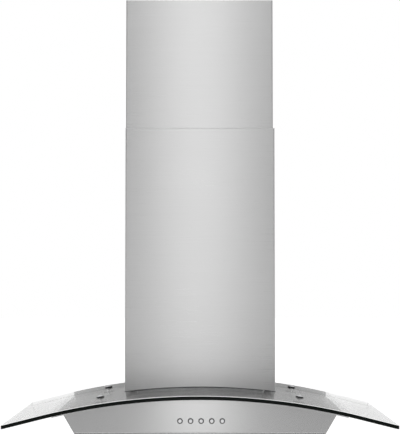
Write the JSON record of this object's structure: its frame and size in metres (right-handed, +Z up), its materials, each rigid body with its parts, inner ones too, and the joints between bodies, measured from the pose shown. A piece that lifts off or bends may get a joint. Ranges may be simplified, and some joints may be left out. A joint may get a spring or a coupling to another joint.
{
  "type": "glass canopy range hood",
  "caption": "Wall-hung range hood: telescoping steel chimney cover over an arched glass canopy, shallow body with push buttons, lamps, baffle filters and a ducted fan.",
  "frame": {"origin": "centre of the four wall holes in the fan box, on the wall plane, 130 mm above the highest line of the glass", "axes": "+X to the right as one faces the hood, +Y into the wall, +Z up"},
  "size_m": [0.75, 0.5, 0.8675],
  "materials": {
    "canopy_glass": "clear float glass with polished dark green edges",
    "brushed_stainless": "stainless sheet, fine brushed grain",
    "rolled_stainless": "stainless sheet, plain mill finish",
    "galvanised": "galvanised sheet with a faint spangle",
    "bright_chrome": "bright polished",
    "zinc_screws": "zinc-plated",
    "black_rubber": "matt",
    "black_plastic": "fine moulded texture",
    "grey_plastic": "fine moulded texture",
    "white_plastic": "fine moulded texture",
    "lamp_lens": "frosted",
    "lamp_trim": "satin anodised",
    "circuit_board": "white solder mask",
    "motor_metal": "dark grey paint",
    "wheel_metal": "pressed, unpolished",
    "capacitor_can": "drawn can"
  },
  "bodies": {
    "hood": {"glass_canopy": "canopy_glass", "glass_pads": "black_rubber", "glass_washers": "black_rubber", "glass_bolts": "bright_chrome", "glass_nuts": "zinc_screws", "top_plate": "rolled_stainless", "body_shell": "brushed_stainless", "front_panel": "brushed_stainless", "bottom_frame": "brushed_stainless", "button_bezels": "black_plastic", "switch_block": "black_plastic", "lamp_left_cup": "lamp_trim", "lamp_left_lens": "lamp_lens", "lamp_left_board": "circuit_board", "lamp_right_cup": "lamp_trim", "lamp_right_lens": "lamp_lens", "lamp_right_board": "circuit_board", "fan_box": "galvanised", "fan_box_screws": "zinc_screws", "scroll_housing": "grey_plastic", "inlet_rings": "grey_plastic", "motor_bracket": "galvanised", "motor": "motor_metal", "duct_collar": "black_plastic", "collar_screws": "zinc_screws", "damper_pin": "zinc_screws", "chimney_lower": "brushed_stainless", "chimney_seal": "black_rubber", "chimney_tabs": "galvanised", "chimney_screws": "zinc_screws", "junction_box": "white_plastic", "junction_lid": "white_plastic", "terminal_block": "white_plastic", "cable_gland": "black_plastic", "led_driver": "white_plastic", "capacitor": "capacitor_can", "capacitor_strap": "galvanised", "wiring": "black_rubber"},
    "upper_cover": {"chimney_upper": "brushed_stainless", "ceiling_bracket": "galvanised", "ceiling_screws": "zinc_screws"},
    "fan_rotor": {"fan_wheel": "wheel_metal", "motor_shaft": "zinc_screws"},
    "damper_front": {"damper_front": "wheel_metal"},
    "damper_rear": {"damper_rear": "wheel_metal"},
    "filter_left": {"filter_left_frame": "brushed_stainless", "filter_left_baffles": "brushed_stainless"},
    "filter_left_handle": {"filter_left_handle": "bright_chrome"},
    "filter_right": {"filter_right_frame": "brushed_stainless", "filter_right_baffles": "brushed_stainless"},
    "filter_right_handle": {"filter_right_handle": "bright_chrome"},
    "button_1": {"button_1": "bright_chrome"},
    "button_2": {"button_2": "bright_chrome"},
    "button_3": {"button_3": "bright_chrome"},
    "button_4": {"button_4": "bright_chrome"},
    "button_5": {"button_5": "bright_chrome"}
  },
  "joints": [
    {"name": "upper_cover_slide", "type": "slide", "parent": "hood", "child": "upper_cover", "axis": [0, 0, 1], "range_m": [-0.235, 0.17]},
    {"name": "fan_spin", "type": "hinge", "parent": "hood", "child": "fan_rotor", "pos_m": [0, -0.104, -0.018], "axis": [1, 0, 0], "continuous": true},
    {"name": "damper_front_swing", "type": "hinge", "parent": "hood", "child": "damper_front", "pos_m": [0, -0.164, 0.118], "axis": [-1, 0, 0], "range_deg": [0, 78]},
    {"name": "damper_rear_swing", "type": "hinge", "parent": "hood", "child": "damper_rear", "pos_m": [0, -0.164, 0.118], "axis": [1, 0, 0], "range_deg": [0, 78]},
    {"name": "filter_left_swing", "type": "hinge", "parent": "hood", "child": "filter_left", "pos_m": [-0.109, -0.07864, -0.1955], "axis": [1, 0, 0], "range_deg": [0, 75]},
    {"name": "filter_left_handle_fold", "type": "hinge", "parent": "filter_left", "child": "filter_left_handle", "pos_m": [-0.109, -0.3868, -0.20326], "axis": [-1, 0, 0], "range_deg": [0, 90]},
    {"name": "filter_right_swing", "type": "hinge", "parent": "hood", "child": "filter_right", "pos_m": [0.109, -0.07864, -0.1955], "axis": [1, 0, 0], "range_deg": [0, 75]},
    {"name": "filter_right_handle_fold", "type": "hinge", "parent": "filter_right", "child": "filter_right_handle", "pos_m": [0.109, -0.3868, -0.20326], "axis": [-1, 0, 0], "range_deg": [0, 90]},
    {"name": "button_1_press", "type": "slide", "parent": "hood", "child": "button_1", "axis": [0, 1, 0], "range_m": [0, 0.002], "stiffness_N_per_m": 250, "springref_m": -0.002},
    {"name": "button_2_press", "type": "slide", "parent": "hood", "child": "button_2", "axis": [0, 1, 0], "range_m": [0, 0.002], "stiffness_N_per_m": 250, "springref_m": -0.002},
    {"name": "button_3_press", "type": "slide", "parent": "hood", "child": "button_3", "axis": [0, 1, 0], "range_m": [0, 0.002], "stiffness_N_per_m": 250, "springref_m": -0.002},
    {"name": "button_4_press", "type": "slide", "parent": "hood", "child": "button_4", "axis": [0, 1, 0], "range_m": [0, 0.002], "stiffness_N_per_m": 250, "springref_m": -0.002},
    {"name": "button_5_press", "type": "slide", "parent": "hood", "child": "button_5", "axis": [0, 1, 0], "range_m": [0, 0.002], "stiffness_N_per_m": 250, "springref_m": -0.002}
  ]
}
